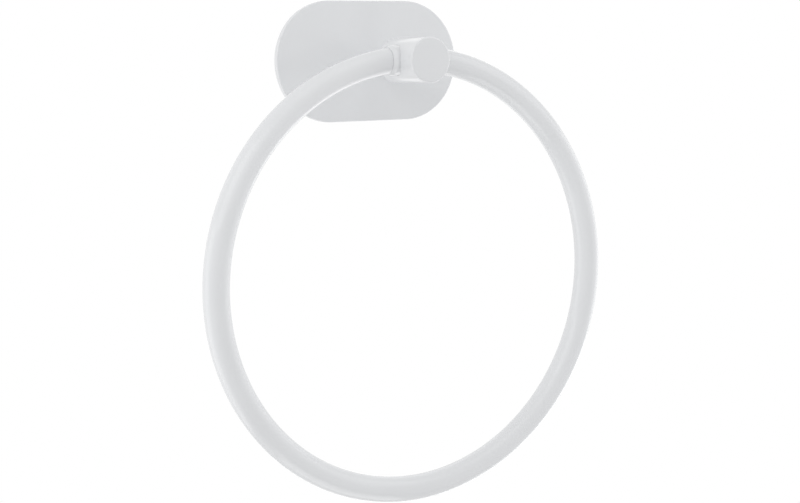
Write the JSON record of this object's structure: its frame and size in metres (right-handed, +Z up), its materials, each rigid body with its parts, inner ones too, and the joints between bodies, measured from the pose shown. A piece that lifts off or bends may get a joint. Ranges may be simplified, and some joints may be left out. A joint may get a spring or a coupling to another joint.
{
  "type": "towel ring",
  "caption": "Round tube towel ring whose ends enter a cylindrical post, on a thin round-ended wall plate with an adhesive back.",
  "frame": {"origin": "centre of the mounting tape's back face, on the wall and on the post's axis", "axes": "+Y into the wall, +Z up along the hanging ring, +X to the right as seen from the room"},
  "size_m": [0.18, 0.0504, 0.1987],
  "materials": {
    "tape_foam": "matt closed-cell foam, sticky on both faces",
    "plate_coating": "satin white coating",
    "post_coating": "satin white coating",
    "screw_steel": "bright zinc-plated steel",
    "ring_coating": "satin white coating",
    "collar_coating": "satin white coating"
  },
  "bodies": {
    "root": {"mounting_tape": "tape_foam", "wall_plate": "plate_coating", "post": "post_coating", "post_screw": "screw_steel", "ring": "ring_coating", "left_collar": "collar_coating", "right_collar": "collar_coating"}
  },
  "joints": []
}
